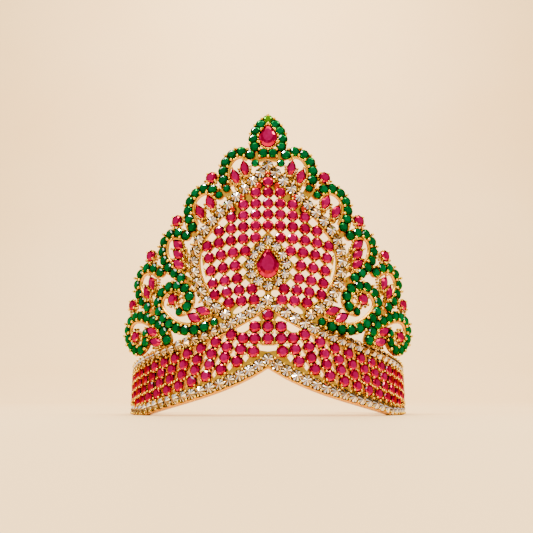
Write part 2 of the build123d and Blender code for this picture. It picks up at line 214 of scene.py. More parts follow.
# Heart lattice. Each row: drop in row pitches, first and last column with a stone
HEART_TOP = 96.6
ROW_PITCH = 5.5
COLUMN_PITCH = 5.5
ROW_ARC_RADIUS = 140.0
DRAW_STARTS_AT_ROW = 5
HEART_ROWS = [
    (0.00, 0, 0),
    (0.92, 0, 1),
    (1.90, 0, 2),
    (2.86, 0, 3),
    (3.84, 0, 4),
    (4.86, 1, 5),
    (5.92, 2, 5),
    (7.07, 3, 5),
    (8.18, 3, 5),
    (9.17, 2, 5),
    (10.06, 2, 4),
]

# Band rubies. Each row: line counted from the lowest, along of the first stone, how many stones a side
BAND_RUBY_PITCH = 7.0
BAND_ROWS = [
    (0, 6.2, 11),
    (1, 11.6, 13),
    (2, 10.7, 13),
    (3, 15.8, 12),
]
# The little cross in the middle of the band
BAND_CROSS = [(0.0, 34.3), (0.0, 29.1), (0.0, 23.9), (5.6, 29.1), (5.6, 23.9)]

# Strings of stones on the right half of the panel. Each is laid out flat on the plane that touches the
# wall at its middle: how far along that is, the route, how many stones, and how many small ones at each end
StoneString = namedtuple("StoneString", "middle route stones small_first small_last")
HALO_STRING = StoneString(20.0, [
    (0, 104.9), (11.2, 92.9), (22.6, 81.8), (31.6, 71.0),
    (34.1, 59.6), (31.9, 50.4), (27.3, 42.3), (18.6, 35.0),
], 18, 0, 0)
PEAR_RING_STRING = StoneString(4.0, [
    (0, 68.5), (5.3, 63.5), (8.0, 57.4), (6.3, 51.3), (0, 47.3),
], 7, 0, 0)
FINIAL_STRING = StoneString(4.0, [
    (0, 128.2), (3.4, 125.6), (5.8, 122.0), (6.7, 117.8), (6.0, 114.3),
], 5, 0, 0)
ARCH_STRINGS = [
    StoneString(11.0, [
        (8.2, 110.4), (12.7, 112.3), (17.9, 110.1), (20.6, 104.4), (20.5, 98.6), (18.9, 94.4),
    ], 7, 0, 1),
    StoneString(31.0, [
        (22.6, 91.6), (27.2, 95.5), (34.0, 94.2), (38.0, 86.6), (35.3, 77.4),
    ], 8, 1, 0),
    StoneString(46.0, [
        (38.6, 73.8), (43.6, 76.1), (49.8, 75.1), (52.0, 69.0), (46.9, 59.0), (40.4, 53.8),
    ], 9, 0, 0),
    StoneString(62.0, [
        (52.7, 58.4), (58.0, 61.8), (65.2, 61.6), (68.7, 56.6), (64.6, 47.2), (60.1, 43.2),
    ], 8, 0, 0),
]
SCROLL_STRINGS = [
    StoneString(40.0, [
        (41.1, 38.3), (36.4, 40.8), (36.8, 47.1), (42.5, 50.4), (49.4, 49.9),
        (53.6, 43.6), (48.9, 35.7), (39.7, 30.0), (28.4, 30.1), (23.8, 32.0),
    ], 16, 1, 1),
    StoneString(62.0, [
        (47.2, 26.0), (51.0, 32.4), (58.1, 37.1), (66.2, 40.0), (73.6, 38.2),
        (75.0, 32.8), (71.0, 27.0), (64.4, 23.4), (60.4, 26.2), (61.2, 31.2),
    ], 15, 0, 1),
]

# Petals on the right half: along, height, slope of the long axis
MARQUISES = [
    (10.7, 103.9, 80),
    (15.1, 100.0, 72),
    (26.8, 88.5, 68),
    (31.8, 84.5, 65),
    (42.9, 70.0, 45),
    (42.6, 65.4, 42),
    (42.3, 60.8, 38),
    (57.9, 54.2, 68),
    (60.9, 50.3, 65),
    (29.1, 37.4, 20),
    (33.2, 34.7, 30),
    (56.2, 31.1, 30),
    (53.8, 25.9, 18),
]

# Single stones on the middle line and the right half
ACCENTS = [(26.3, 100.5), (43.8, 81.9), (59.2, 67.8), (71.3, 46.3), (44.5, 44.4), (67.6, 30.4)]
CENTRE_PEAR = (0.0, 57.5)
FINIAL_PEAR = (0.0, 119.7)
SMALL_REDS = [(0.0, 100.7), (4.1, 95.0), (11.8, 89.7), (16.1, 83.9)]
SMALL_GREENS = [(5.9, 106.2)]
MIDDLE_GREENS = [(2.2, 111.1)]

# Drawing of curves
CURVE_SAMPLES = 400
SLOPE_REACH = 0.2
MIDDLE_LINE = 0.01

# Meshes, in metres and degrees
SAME_PLACE = 0.000002
SAME_LEVEL = 0.00001
BEAD_SMOOTH_ANGLE = 50
CUP_SMOOTH_ANGLE = 40

# Gold: colour stops from dark to bright patches
WARM_GOLD = [
    (0.3, (0.5, 0.235, 0.009)), (0.45, (0.57, 0.28, 0.014)), (0.58, (0.64, 0.33, 0.02)),
    (0.7, (0.74, 0.4, 0.034)),
]
RIM_GOLD = [(0.3, (0.6, 0.28, 0.004)), (0.5, (0.78, 0.38, 0.007)), (0.7, (0.9, 0.46, 0.015))]
PALE_GOLD = [(0.35, (0.66, 0.36, 0.006)), (0.6, (0.9, 0.59, 0.03))]
DEEP_GOLD = [(0.38, (0.05, 0.02, 0.001)), (0.5, (0.38, 0.18, 0.003)), (0.66, (0.9, 0.54, 0.025))]
PATCH_SCALE = 900.0
FRAME_PATCH_SCALE = 420.0
POLISH_SCALE = 950.0
CAST_GRAIN_SCALE = 1800.0
CAST_GRAIN_DEPTH = 0.00012

# Glass: colour stops from the darkest facet to a sparkle, read by the painted facet light, so they paint
# shade, highlights and sparkles into the colour
RUBY_GLASS = [
    (0.0, (0.05, 0.0, 0.003)), (0.3, (0.16, 0.0, 0.01)), (0.55, (0.32, 0.0, 0.028)),
    (0.8, (0.5, 0.0, 0.085)), (0.97, (0.75, 0.005, 0.2)), (1.0, (1.0, 0.5, 0.65)),
]
GARNET_GLASS = [
    (0.0, (0.08, 0.004, 0.0)), (0.3, (0.24, 0.01, 0.001)), (0.55, (0.44, 0.02, 0.004)),
    (0.8, (0.64, 0.035, 0.01)), (1.0, (0.85, 0.1, 0.04)),
]
EMERALD_GLASS = [
    (0.0, (0.0, 0.012, 0.002)), (0.35, (0.0, 0.052, 0.008)), (0.65, (0.0, 0.105, 0.018)),
    (0.97, (0.005, 0.25, 0.07)), (1.0, (0.8, 1.0, 0.9)),
]
LIME_GLASS = [(0.0, (0.008, 0.05, 0.0)), (0.5, (0.045, 0.19, 0.0)), (1.0, (0.24, 0.52, 0.01))]
CLEAR_GLASS = [
    (0.0, (0.04, 0.015, 0.002)), (0.25, (0.17, 0.08, 0.01)), (0.5, (0.45, 0.26, 0.06)),
    (0.75, (0.85, 0.8, 0.72)), (1.0, (1.0, 1.0, 1.0)),
]
VEIL_SCALE = 700.0
VEIL_SPREAD = 0.05
COAT_ROUGHNESS = 0.03
NOISE_SPAN = (0.3, 0.7)

# Camera: how far in front and above the ground it stands, in metres, and how it looks up
CAMERA_PLACE = (0.0, -0.405, 0.007)
CAMERA_RISE = 9.49
PICTURE_SIDE = 533
FOCAL_PIXELS = 798.0
PICTURE_MIDDLE_X = 268.0
SENSOR_WIDTH = 36.0

# The paper floor, which sweeps up behind the crown, in metres
PAPER_SIZE = 4.0
PAPER_RISE = 2.5
SWEEP_RADIUS = 0.9
SWEEP_SEGMENTS = 16
PAPER_SCALE = 3.0
PAPER_ROUGHNESS = 0.6
PAPER_TINTS = [(0.3, (0.93, 0.61, 0.26)), (0.7, (0.95, 0.65, 0.3))]

# Lights: name, place and target in metres, side, power in watts, colour
CROWN_MIDDLE = (0, -0.03, 0.07)
LIGHTS = [
    ("key_window", (-0.45, -0.5, 1.0), CROWN_MIDDLE, 0.22, 12.0, (1.0, 0.96, 0.9)),
    ("fill_window", (0.55, -0.4, 0.95), CROWN_MIDDLE, 0.2, 7.0, (1.0, 0.95, 0.88)),
    ("top_window", (0.0, -0.15, 1.1), CROWN_MIDDLE, 0.9, 16.0, (1.0, 0.98, 0.95)),
    ("paper_light", (0, 0.9, 1.5), (0, 1.9, 0.5), 1.2, 60.0, (1.0, 0.95, 0.88)),
]
AIR_COLOUR = (1.0, 0.97, 0.94)
AIR_STRENGTH = 1.2


# Places on the walls

def line_height(line, along):
    level, climb = line
    return level + climb * exp(-abs(along) / CHEVRON_REACH)


def ground_height(along):
    """Height of the ground at the band, measured on the leaning axis."""
    return -BAND_RADIUS * cos(along / BAND_RADIUS) * tan(radians(LEAN_ANGLE))


def wall_place(radius, setback, along, height, turn=0.0, lift=0.0):
    """Where a thing stands on a leaning wall: x along it, y up it, z outwards."""
    angle = along / radius
    upright = Matrix((
        (cos(angle), 0, sin(angle), radius * sin(angle) * MM),
        (sin(angle), 0, -cos(angle), (setback - radius * cos(angle)) * MM),
        (0, 1, 0, height * MM),
        (0, 0, 0, 1),
    ))
    lean = Matrix.Rotation(radians(-LEAN_ANGLE), 4, "X")
    return lean @ upright @ Matrix.Rotation(radians(turn), 4, "Z") @ Matrix.Translation((0, 0, lift * MM))


def on_panel(along, height, turn=0.0, lift=0.0):
    return wall_place(PANEL_RADIUS, PANEL_SETBACK, along, height, turn, lift)


def on_band(along, height, turn=0.0, lift=0.0):
    return wall_place(BAND_RADIUS, 0, along, height, turn, lift)


def both_sides(places):
    """The places and their mirror images, a place on the middle line only once."""
    return list(places) + [(-place[0],) + tuple(place[1:]) for place in places if place[0] > MIDDLE_LINE]


def moved(along, height, slope, ahead, aside):
    """A place moved ahead along a slope, and aside to the left of it."""
    x = along + ahead * cos(radians(slope)) - aside * sin(radians(slope))
    y = height + ahead * sin(radians(slope)) + aside * cos(radians(slope))
    return x, y


def run_along(points):
    """How far along a row of points each one lies."""
    return np.concatenate(([0.0], np.cumsum(np.hypot(*np.diff(points, axis=0).T))))


def smooth_curve(points):
    """A natural cubic through a few points, as an even run of samples."""
    points = np.array(points, float)
    knots = run_along(points)
    gaps = np.diff(knots)
    count = len(points)
    system = np.eye(count)
    target = np.zeros((count, 2))
    for i in range(1, count - 1):
        system[i, i - 1:i + 2] = gaps[i - 1], 2 * (gaps[i - 1] + gaps[i]), gaps[i]
        target[i] = 6 * ((points[i + 1] - points[i]) / gaps[i] - (points[i] - points[i - 1]) / gaps[i - 1])
    bend = np.linalg.solve(system, target)
    run = np.linspace(0, knots[-1], CURVE_SAMPLES)
    span = np.clip(np.searchsorted(knots, run, side="right") - 1, 0, count - 2)
    width = gaps[span][:, None]
    before = (knots[span + 1] - run)[:, None]
    after = (run - knots[span])[:, None]
    curve = (bend[span] * before ** 3 + bend[span + 1] * after ** 3) / (6 * width)
    curve += (points[span] / width - bend[span] * width / 6) * before
    curve += (points[span + 1] / width - bend[span + 1] * width / 6) * after
    return curve


def spaced(curve, count):
    """Evenly spaced places on a curve, each with its direction in degrees."""
    run = run_along(curve)
    places = []
    for distance in np.linspace(0, run[-1], count):
        x = np.interp(distance, run, curve[:, 0])
        y = np.interp(distance, run, curve[:, 1])
        ahead = min(distance + SLOPE_REACH, run[-1])
        behind = max(distance - SLOPE_REACH, 0)
        dx = np.interp(ahead, run, curve[:, 0]) - np.interp(behind, run, curve[:, 0])
        dy = np.interp(ahead, run, curve[:, 1]) - np.interp(behind, run, curve[:, 1])
        places.append((float(x), float(y), float(np.degrees(np.arctan2(dy, dx)))))
    return places


def stone_places(curve, count, between):
    """Places for a number of stones along a curve, or the places between them."""
    if between:
        return spaced(curve, 2 * count - 1)[1::2]
    return spaced(curve, count)


def round_wall(string, x):
    """How far along the panel a point of a string lies, from its place on the flat."""
    return string.middle + PANEL_RADIUS * asin((x - string.middle) / PANEL_RADIUS)


def string_places(string, between=False):
    """Where the stones of a string sit on the panel, or the places between them."""
    places = stone_places(smooth_curve(string.route), string.stones, between)
    return [(round_wall(string, x), y, slope) for x, y, slope in places]


def row_height(line, along):
    """Height of a clear row: its line, but with its cups above the ground."""
    return max(line_height(line, along), ground_height(along) + CLEAR_WIDTH / 2 + CUP_MARGIN)


def chevron_places(line, between=False):
    """Where the clear stones of a chevron row sit on the right half of the band."""
    reach = radians(STRING_END_ANGLE) * BAND_RADIUS
    along = np.linspace(0, reach, CURVE_SAMPLES)
    curve = np.array([(x, row_height(line, x)) for x in along])
    count = int(round(run_along(curve)[-1] / CLEAR_PITCH)) + 1
    return stone_places(curve, count, between)


def heart_places():
    places = []
    for row, (drop, first, last) in enumerate(HEART_ROWS):
        for column in range(first, last + 1):
            drawn = max(0, row - DRAW_STARTS_AT_ROW) if column else 0
            along = column * COLUMN_PITCH - drawn
            places.append((along, HEART_TOP - drop * ROW_PITCH - along * along / (2 * ROW_ARC_RADIUS)))
    return places


def band_places():
    places = list(BAND_CROSS)
    for line, first, count in BAND_ROWS:
        level = (RUBY_LINE[0] + line * RUBY_LINE_PITCH, RUBY_LINE[1])
        for step in range(count):
            along = first + step * BAND_RUBY_PITCH
            places.append((along, line_height(level, along)))
    return places


def prong_places(stones, reach, directions):
    """Prongs round each stone, one where two stones would share a pair."""
    prongs = []
    for along, height in stones:
        for direction in directions:
            x = along + reach * cos(radians(direction))
            y = height + reach * sin(radians(direction))
            near = [p for p in prongs if hypot(p[0] - x, p[1] - y) < SHARED_PRONG_GAP]
            if near:
                near[0][0] = (near[0][0] + x) / 2
                near[0][1] = (near[0][1] + y) / 2
            else:
                prongs.append([x, y])
    return [tuple(prong) for prong in prongs]


# Making and setting pieces

def clear_selection():
    bpy.ops.object.select_all(action="DESELECT")


def finished(name):
    """The active object under its name, with its place in its mesh."""
    piece = bpy.context.active_object
    clear_selection()
    piece.select_set(True)
    bpy.ops.object.transform_apply(location=True, rotation=True, scale=True)
    piece.name = name
    piece.data.name = name
    return piece


def face_outwards():
    bpy.ops.mesh.select_all(action="SELECT")
    bpy.ops.mesh.remove_doubles(threshold=SAME_PLACE)
    bpy.ops.mesh.normals_make_consistent(inside=False)


def cut_stone(name, sides, rings, shape=(1.0, 1.0), twist=False, poke_table=False):
    """A cut stone: rings from its foot to its table, each with its width and its height in millimetres."""
    clear_selection()
    width, height = rings[0]
    bpy.ops.mesh.primitive_circle_add(
        vertices=sides, radius=width / 2 * MM, fill_type="NGON", location=(0, 0, height * MM)
    )
    bpy.ops.object.mode_set(mode="EDIT")
    bpy.ops.mesh.select_all(action="SELECT")
    for next_width, next_height in rings[1:]:
        rise = (next_height - height) * MM
        bpy.ops.mesh.extrude_region_move(TRANSFORM_OT_translate={"value": (0, 0, rise)})
        centre = (0, 0, next_height * MM)
        share = next_width / width
        bpy.ops.transform.resize(value=(share, share, 1), center_override=centre)
        if twist:
            bpy.ops.transform.rotate(value=pi / sides, orient_axis="Z", center_override=centre)
        width, height = next_width, next_height
    if poke_table:
        bpy.ops.mesh.poke()
    if twist:
        bpy.ops.mesh.select_all(action="SELECT")
        bpy.ops.mesh.quads_convert_to_tris(quad_method="SHORTEST_DIAGONAL")
    bpy.ops.mesh.select_all(action="SELECT")
    bpy.ops.transform.resize(value=(shape[0], shape[1], 1), center_override=(0, 0, 0))
    face_outwards()
    bpy.ops.object.mode_set(mode="OBJECT")
    return finished(name)


def draw_to_points(stone, upper, lower, taper=1.0, spindle=0.0):
    """Pull the ends of an oval out to points; taper narrows its upper half, spindle both its ends."""
    top = max(v.co.y for v in stone.data.vertices)
    for vertex in stone.data.vertices:
        share = vertex.co.y / top
        vertex.co.x *= 1 - spindle * share * share
        if share > 0:
            vertex.co.x *= 1 - (1 - taper) * share
        vertex.co.y *= 1 + (upper if share > 0 else lower) * abs(share) ** POINT_POWER
    return stone


def mark_facets(stone, rule):
    """Paint each facet with its glint, painted light and shade from 0 to 1, and make room for the stone's
    own tone.
    """
    glint = stone.data.attributes.new("glint", "FLOAT", "FACE")
    stone.data.attributes.new("tone", "FLOAT", "FACE")
    # Blender numbers the faces in another order each run, so single facets differ in brightness
    for polygon in stone.data.polygons:
        glint.data[polygon.index].value = min(1, max(0, rule(polygon)))
    return stone


def painted_coloured_facets(polygon):
    """Coloured stones: a painted pale table, painted light in the facets that face down, as light from
    above would leave them, and painted shade in those that face up.
    """
    if polygon.normal.z > LEVEL_NORMAL:
        return TABLE_GLINT
    spark = chance.uniform(-GLINT_SPREAD, GLINT_SPREAD)
    glint = SIDE_GLINT - GLINT_DOWN * polygon.normal.y - GLINT_ASIDE * polygon.normal.x + spark
    return min(GLINT_LIMIT, glint)


def painted_clear_spokes(polygon):
    """Clear stones: painted spokes of light and dark, standing for reflections, from the middle to the rim.
    """
    centre = polygon.center
    wedge = int((np.arctan2(centre.y, centre.x) / pi + 1) * CLEAR_SPOKES + WEDGE_NUDGE)
    return SPOKE_GLINTS[wedge % 2] + chance.uniform(-SPOKE_SPREAD, SPOKE_SPREAD)


def small_tilt():
    """No stone sits quite level in its cup."""
    tilt = Matrix.Rotation(radians(chance.uniform(-STONE_TILT, STONE_TILT)), 4, "X")
    return tilt @ Matrix.Rotation(radians(chance.uniform(-STONE_TILT, STONE_TILT)), 4, "Y")


def painted_sparkles(stone):
    """Painted highlights: the facets that face the way that would throw the key light to the front are
    painted in the palest colour of their glass.
    """
    glint = stone.data.attributes["glint"]
    for polygon in stone.data.polygons:
        if polygon.normal.dot(Vector(SPARKLE_NORMAL)) > cos(radians(SPARKLE_SPREAD)):
            glint.data[polygon.index].value = SPARKLE


def give_material(piece, material):
    piece.data.materials.clear()
    piece.data.materials.append(material)


def joined(name, parts, material):
    """One piece of the crown, joined from its parts."""
    clear_selection()
    for part in parts:
        part.select_set(True)
    bpy.context.view_layer.objects.active = parts[0]
    bpy.ops.object.join()
    piece = bpy.context.active_object
    piece.name = name
    piece.data.name = name
    give_material(piece, material)
    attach(piece, "root")
    return piece


def set_copies(name, settings, material, darkest=0.0, sparkles=0.0):
    """Copies of masters at their places, joined as one piece. Each setting: master, place."""
    copies = []
    for master, place in settings:
        copy = master.copy()
        copy.data = master.data.copy()
        if "tone" in copy.data.attributes:
            tone = chance.uniform(darkest, 1)
            place = place @ small_tilt()
            values = [tone] * len(copy.data.polygons)
            copy.data.attributes["tone"].data.foreach_set("value", values)
        copy.data.transform(place)
        # Some stones get painted highlights on the facets that face the key light's way
        if chance.random() < sparkles:
            painted_sparkles(copy)
        bpy.context.collection.objects.link(copy)
        copies.append(copy)
    return joined(name, copies, material)


def drop_masters(masters):
    for master in masters:
        bpy.data.objects.remove(master, do_unlink=True)


# Materials

def new_material(name):
    material = bpy.data.materials.new(name)
    material.use_nodes = True
    nodes = material.node_tree.nodes
    return material, nodes, material.node_tree.links, nodes["Principled BSDF"]


def colour_ramp(nodes, stops):
    ramp = nodes.new("ShaderNodeValToRGB")
    elements = ramp.color_ramp.elements
    while len(elements) < len(stops):
        elements.new(0.5)
    for element, (position, colour) in zip(elements, stops):
        element.position = position
        element.color = (*colour, 1)
    return ramp


def object_noise(nodes, links, scale, detail=3.0):
    coordinates = nodes.new("ShaderNodeTexCoord")
    noise = nodes.new("ShaderNodeTexNoise")
    noise.inputs["Scale"].default_value = scale
    noise.inputs["Detail"].default_value = detail
    links.new(coordinates.outputs["Object"], noise.inputs["Vector"])
    return noise


def range_of(nodes, links, source, low, high):
    """Spread the middle of a noise over a range."""
    spread = nodes.new("ShaderNodeMapRange")
    spread.inputs["From Min"].default_value = NOISE_SPAN[0]
    spread.inputs["From Max"].default_value = NOISE_SPAN[1]
    spread.inputs["To Min"].default_value = low
    spread.inputs["To Max"].default_value = high
    links.new(source, spread.inputs["Value"])
    return spread.outputs["Result"]


def bump_from(nodes, links, shader, noise, strength, distance):
    bump = nodes.new("ShaderNodeBump")
    bump.inputs["Strength"].default_value = strength
    bump.inputs["Distance"].default_value = distance
    links.new(noise.outputs["Fac"], bump.inputs["Height"])
    links.new(bump.outputs["Normal"], shader.inputs["Normal"])


def gold_material(name, stops, smooth, rough, grain, patches=PATCH_SCALE):
    """Gold plate: bright and dark in small patches, with a fine cast grain."""
    material, nodes, links, shader = new_material(name)
    shader.inputs["Metallic"].default_value = 1.0
    cloud = object_noise(nodes, links, patches)
    ramp = colour_ramp(nodes, stops)
    links.new(cloud.outputs["Fac"], ramp.inputs["Fac"])
    links.new(ramp.outputs["Color"], shader.inputs["Base Color"])
    polish = object_noise(nodes, links, POLISH_SCALE)
    links.new(range_of(nodes, links, polish.outputs["Fac"], smooth, rough), shader.inputs["Roughness"])
    cast = object_noise(nodes, links, CAST_GRAIN_SCALE, detail=4.0)
    bump_from(nodes, links, shader, cast, grain, CAST_GRAIN_DEPTH)
    return material


def glass_material(name, stops, tone_share, roughness, edge, coat):
    """Cut glass: the facet's glint, which is painted light and shade, and the stone's own tone choose the
    colour, with faint clouds inside.
    """
    material, nodes, links, shader = new_material(name)
    glint = nodes.new("ShaderNodeAttribute")
    glint.attribute_name = "glint"
    tone = nodes.new("ShaderNodeAttribute")
    tone.attribute_name = "tone"
    cloud = object_noise(nodes, links, VEIL_SCALE, detail=2.0)
    mix = nodes.new("ShaderNodeMath")
    mix.operation = "MULTIPLY_ADD"
    mix.inputs[1].default_value = tone_share
    links.new(tone.outputs["Fac"], mix.inputs[0])
    links.new(glint.outputs["Fac"], mix.inputs[2])
    veil = nodes.new("ShaderNodeMath")
    veil.operation = "ADD"
    links.new(mix.outputs["Value"], veil.inputs[0])
    links.new(range_of(nodes, links, cloud.outputs["Fac"], -VEIL_SPREAD, VEIL_SPREAD), veil.inputs[1])
    ramp = colour_ramp(nodes, stops)
    links.new(veil.outputs["Value"], ramp.inputs["Fac"])
    links.new(ramp.outputs["Color"], shader.inputs["Base Color"])
    shader.inputs["Metallic"].default_value = 1.0
    shader.inputs["Specular Tint"].default_value = (*edge, 1)
    shader.inputs["Roughness"].default_value = roughness
    shader.inputs["Coat Weight"].default_value = coat
    shader.inputs["Coat Roughness"].default_value = COAT_ROUGHNESS
    return material


def all_materials():
    return {
        "frame gold": gold_material(
            "frame_gold", WARM_GOLD, smooth=0.16, rough=0.3, grain=0.25, patches=FRAME_PATCH_SCALE
        ),
        "cup gold": gold_material("cup_gold", DEEP_GOLD, smooth=0.14, rough=0.28, grain=0.3),
        "rim gold": gold_material("rim_gold", RIM_GOLD, smooth=0.16, rough=0.3, grain=0.2),
        "bead gold": gold_material("bead_gold", PALE_GOLD, smooth=0.08, rough=0.18, grain=0.12),
        "ruby": glass_material(
            "ruby_glass", RUBY_GLASS, tone_share=0.22, roughness=0.1, edge=(0.4, 0.0, 0.1), coat=0.02
        ),
        "garnet": glass_material(
            "garnet_glass", GARNET_GLASS, tone_share=0.2, roughness=0.1, edge=(0.5, 0.05, 0.0), coat=0.02
        ),
        "emerald": glass_material(
            "emerald_glass", EMERALD_GLASS, tone_share=0.2, roughness=0.1, edge=(0.1, 0.8, 0.4), coat=0.03
        ),
        "lime": glass_material(
            "lime_glass", LIME_GLASS, tone_share=0.1, roughness=0.1, edge=(0.6, 0.9, 0.2), coat=0.03
        ),
        "clear": glass_material(
            "clear_glass", CLEAR_GLASS, tone_share=0.15, roughness=0.06, edge=(1.0, 0.95, 0.85), coat=0.12
        ),
    }


# Masters

def cut_rings(width, height, foot_height, cut):
    """The rings of a stone: its foot, and each ring of its cut."""
    return [(width * FOOT_SHARE, foot_height)] + [(width * wide, height * high) for wide, high in cut]


def round_master(name, width, height, sides):
    """A round stone standing in its cup, its girdle half way up."""
    rings = cut_rings(width, height, FOOT_HEIGHT, ROUND_CUT)
    return mark_facets(cut_stone(name, sides, rings, twist=True), painted_coloured_facets)


def clear_master(name, width, height):
    """A clear stone: every second corner of its crown is cut lower, so its wedges face two ways."""
    rings = cut_rings(width, height, FOOT_HEIGHT, [CLEAR_GIRDLE, CLEAR_CROWN])
    stone = cut_stone(name, 2 * CLEAR_SPOKES, rings, poke_table=True)
    crown = height * CLEAR_CROWN[1] * MM
    for vertex in stone.data.vertices:
        if abs(vertex.co.z - crown) > SAME_LEVEL:
            continue
        if vertex.co.to_2d().length < SAME_LEVEL:
            vertex.co.z = height * MM
        elif int(round(np.arctan2(vertex.co.y, vertex.co.x) / pi * CLEAR_SPOKES)) % 2:
            vertex.co.z -= SPOKE_DROP * MM
    return mark_facets(stone, painted_clear_spokes)


def marquise_master(name):
    across, length = MARQUISE_SIZE
    rings = [
        (length * FOOT_SHARE, FOOT_HEIGHT),
        (length * MARQUISE_OVAL, MARQUISE_GIRDLE),
        (length * MARQUISE_TABLE, MARQUISE_HEIGHT),
    ]
    stone = cut_stone(name, MARQUISE_SIDES, rings, shape=(across / (length * MARQUISE_OVAL), 1.0))
    draw_to_points(stone, MARQUISE_TIP, MARQUISE_TIP, spindle=MARQUISE_SPINDLE)
    return mark_facets(stone, painted_coloured_facets)


def pear_master(name, size, height):
    across, length = size
    rings = cut_rings(length, height, PEAR_FOOT_HEIGHT, PEAR_CUT)
    stone = cut_stone(name, PEAR_SIDES, rings, shape=(across / length, 1.0))
    draw_to_points(stone, PEAR_TIP, 0.0, taper=PEAR_TAPER)
    return mark_facets(stone, painted_coloured_facets)


def bead_master(name, width, top):
    """A prong: a little ball on a post that stands on the plate."""
    clear_selection()
    bpy.ops.mesh.primitive_uv_sphere_add(
        segments=BALL_SEGMENTS, ring_count=BALL_RINGS, radius=width / 2 * MM, location=(0, 0, top * MM)
    )
    bpy.ops.object.mode_set(mode="EDIT")
    bpy.ops.mesh.select_all(action="DESELECT")
    bpy.ops.object.mode_set(mode="OBJECT")
    ball = bpy.context.active_object
    lowest = min(v.co.z for v in ball.data.vertices)
    for polygon in ball.data.polygons:
        polygon.select = polygon.center.z < lowest + POST_TOP_SHARE * width * MM
    bpy.ops.object.mode_set(mode="EDIT")
    fall = -(top - width / 2) * MM
    bpy.ops.mesh.extrude_region_move(TRANSFORM_OT_translate={"value": (0, 0, fall)})
    bpy.ops.transform.resize(value=(POST_SPREAD, POST_SPREAD, 1.0), center_override=(0, 0, 0))
    face_outwards()
    bpy.ops.object.mode_set(mode="OBJECT")
    bpy.ops.object.shade_smooth_by_angle(angle=radians(BEAD_SMOOTH_ANGLE))
    return finished(name)


def cup_master(name, width, height, sides):
    """The collet round a stone: a low gold ring, open inside."""
    clear_selection()
    bpy.ops.mesh.primitive_cylinder_add(
        vertices=sides, radius=(width / 2 + CUP_REACH) * MM, depth=height * MM,
        location=(0, 0, height / 2 * MM),
    )
    cup = bpy.context.active_object
    for polygon in cup.data.polygons:
        polygon.select = polygon.normal.z > LEVEL_NORMAL
    for edge in cup.data.edges:
        edge.select = False
    bpy.ops.object.mode_set(mode="EDIT")
    bpy.ops.mesh.select_mode(type="FACE")
    bpy.ops.mesh.inset(thickness=CUP_WALL * MM)
    bpy.ops.transform.translate(value=(0, 0, -height * CUP_DEPTH_SHARE * MM))
    face_outwards()
    bpy.ops.object.mode_set(mode="OBJECT")
    bpy.ops.object.shade_smooth_by_angle(angle=radians(CUP_SMOOTH_ANGLE))
    return finished(name)


def leaf_master(name):
    """A small gold leaf, domed, with a point at each end."""
    across, length = LEAF_SIZE
    clear_selection()
    bpy.ops.mesh.primitive_uv_sphere_add(
        segments=BALL_SEGMENTS, ring_count=BALL_RINGS, radius=length / 2 * MM, rotation=(pi / 2, 0, 0)
    )
    leaf = finished(name)
    bpy.ops.object.mode_set(mode="EDIT")
    bpy.ops.mesh.select_all(action="SELECT")
    bpy.ops.transform.resize(value=(across / length, 1, LEAF_FLATNESS), center_override=(0, 0, 0))
    bpy.ops.transform.translate(value=(0, 0, LEAF_LIFT * MM))
    bpy.ops.object.mode_set(mode="OBJECT")
    bpy.ops.object.shade_smooth()
    return draw_to_points(leaf, LEAF_TIP, LEAF_TIP)


# Stones

def string_settings(string, stone, small_stone):
    """Both halves of a string: each stone with its place, small ones at the ends."""
    settings = []
    for index, (along, height, slope) in enumerate(string_places(string)):
        small = index < string.small_first or index >= string.stones - string.small_last
        master = small_stone if small else stone
        settings.append((master, on_panel(along, height, slope)))
        if along > MIDDLE_LINE:
            settings.append((master, on_panel(-along, height, 180 - slope)))
    return settings


def make_rubies(materials):
    ruby = round_master("ruby_master", RUBY_WIDTH, RUBY_HEIGHT, sides=10)
    accent = round_master("accent_master", ACCENT_WIDTH, ACCENT_HEIGHT, sides=10)
    small = round_master("small_red_master", SMALL_RED_WIDTH, SMALL_RED_HEIGHT, sides=8)
    glass = materials["ruby"]
    heart = [(ruby, on_panel(*place)) for place in both_sides(heart_places())]
    piece = set_copies("heart_ruby_stones", heart, glass, sparkles=RUBY_SPARKLES)
    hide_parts("heart_rubies")
    band = [(ruby, on_band(*place)) for place in both_sides(band_places())]
    piece = set_copies("band_ruby_stones", band, glass, BRIGHT_RUBY_TONE, RUBY_SPARKLES)
    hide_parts("band_rubies")
    accents = [(accent, on_panel(*place)) for place in both_sides(ACCENTS)]
    piece = set_copies("accent_ruby_stones", accents, glass, BRIGHT_RUBY_TONE, RUBY_SPARKLES)
    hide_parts("accent_rubies")
    reds = [(small, on_panel(*place)) for place in both_sides(SMALL_REDS)]
    set_copies("small_red_stones", reds, materials["garnet"], BRIGHT_RUBY_TONE)
    drop_masters([ruby, accent, small])


def make_petals_and_pears(materials):
    glass = materials["ruby"]
    marquise = marquise_master("marquise_master")
    petals = []
    for along, height, slope in MARQUISES:
        petals.append((marquise, on_panel(along, height, slope - 90)))
        petals.append((marquise, on_panel(-along, height, 90 - slope)))
    piece = set_copies("petal_stones", petals, glass, BRIGHT_RUBY_TONE)
    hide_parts("marquise_rubies")
    centre = pear_master("centre_pear_master", CENTRE_PEAR_SIZE, CENTRE_PEAR_HEIGHT)
    piece = set_copies("centre_pear_stone", [(centre, on_panel(*CENTRE_PEAR))], glass)
    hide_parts("centre_pear")
    finial = pear_master("finial_pear_master", FINIAL_PEAR_SIZE, FINIAL_PEAR_HEIGHT)
    piece = set_copies("finial_pear_stone", [(finial, on_panel(*FINIAL_PEAR))], glass)
    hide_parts("finial_pear")
    drop_masters([marquise, centre, finial])


